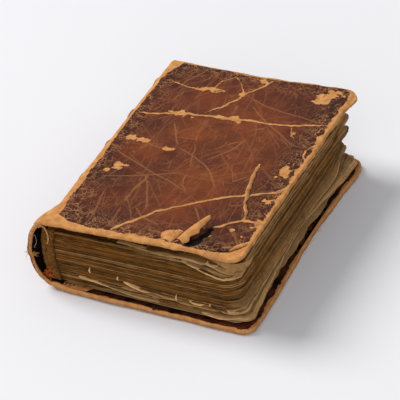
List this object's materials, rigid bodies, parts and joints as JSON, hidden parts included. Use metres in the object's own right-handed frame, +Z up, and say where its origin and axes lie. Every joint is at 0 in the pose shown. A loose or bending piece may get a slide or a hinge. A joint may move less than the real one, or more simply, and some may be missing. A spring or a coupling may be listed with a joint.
{
  "type": "prayer book",
  "caption": "Small worn leather prayer book with rounded hollow spine, sewn sections, and covers that open on their joints.",
  "frame": {"origin": "on the table, under the middle of the closed book's footprint", "axes": "+X from the spine to the fore-edge, +Y from the tail to the head, +Z up out of the front cover"},
  "size_m": [0.1096, 0.1484, 0.0413],
  "materials": {
    "cover_leather": "worn reddish brown calf, tan where the surface is rubbed off",
    "spine_leather": "worn brown calf, frayed at its ends",
    "cover_board": "dense paper board",
    "inlay_card": "thin card",
    "page_paper": "browned rag paper",
    "endpaper": "browned endpaper",
    "spine_lining": "glued open-weave cloth and paper",
    "sewing_cord": "twisted hemp cord",
    "endband": "faded thread over a core"
  },
  "bodies": {
    "back_cover": {"back_cover_leather": "cover_leather", "back_board": "cover_board", "back_pastedown": "endpaper"},
    "back_flyleaf": {"back_flyleaf": "endpaper"},
    "lower_block": {"section_01": "page_paper", "section_02": "page_paper", "section_03": "page_paper", "section_04": "page_paper", "section_05": "page_paper", "section_06": "page_paper", "section_07": "page_paper", "section_08": "page_paper", "spine_leather_lower": "spine_leather", "spine_inlay_lower": "inlay_card", "spine_lining_lower": "spine_lining", "tail_band_lower": "endband", "head_band_lower": "endband", "sewing_cord_1_lower": "sewing_cord", "sewing_cord_2_lower": "sewing_cord", "sewing_cord_3_lower": "sewing_cord", "sewing_cord_4_lower": "sewing_cord", "sewing_cord_5_lower": "sewing_cord"},
    "upper_block": {"section_09": "page_paper", "section_10": "page_paper", "section_11": "page_paper", "section_12": "page_paper", "section_13": "page_paper", "section_14": "page_paper", "section_15": "page_paper", "section_16": "page_paper", "spine_leather_upper": "spine_leather", "spine_inlay_upper": "inlay_card", "spine_lining_upper": "spine_lining", "tail_band_upper": "endband", "head_band_upper": "endband", "sewing_cord_1_upper": "sewing_cord", "sewing_cord_2_upper": "sewing_cord", "sewing_cord_3_upper": "sewing_cord", "sewing_cord_4_upper": "sewing_cord", "sewing_cord_5_upper": "sewing_cord"},
    "front_cover": {"front_cover_leather": "cover_leather", "front_board": "cover_board", "front_pastedown": "endpaper"},
    "front_flyleaf": {"front_flyleaf": "endpaper"}
  },
  "joints": [
    {"name": "back_joint", "type": "hinge", "parent": "back_cover", "child": "lower_block", "pos_m": [-0.03798, 0, -0.0003], "axis": [0, 1, 0], "range_deg": [-25, 0]},
    {"name": "middle_opening", "type": "hinge", "parent": "lower_block", "child": "upper_block", "pos_m": [-0.05493, 0, 0.01786], "axis": [0, 1, 0], "range_deg": [-120, 0]},
    {"name": "front_joint", "type": "hinge", "parent": "upper_block", "child": "front_cover", "pos_m": [-0.04658, 0, 0.0365], "axis": [0, -1, 0], "range_deg": [0, 175]},
    {"name": "front_flyleaf_turn", "type": "hinge", "parent": "upper_block", "child": "front_flyleaf", "pos_m": [-0.04493, 0, 0.03249], "axis": [0, -1, 0], "range_deg": [0, 90]},
    {"name": "back_flyleaf_turn", "type": "hinge", "parent": "back_cover", "child": "back_flyleaf", "pos_m": [-0.03685, 0, 0.00343], "axis": [0, 1, 0], "range_deg": [-15, 0]}
  ],
  "couplings": [
    {"joint": "front_flyleaf_turn", "follows": "front_joint", "ratio": 0.5},
    {"joint": "back_flyleaf_turn", "follows": "back_joint", "ratio": 0.5}
  ]
}
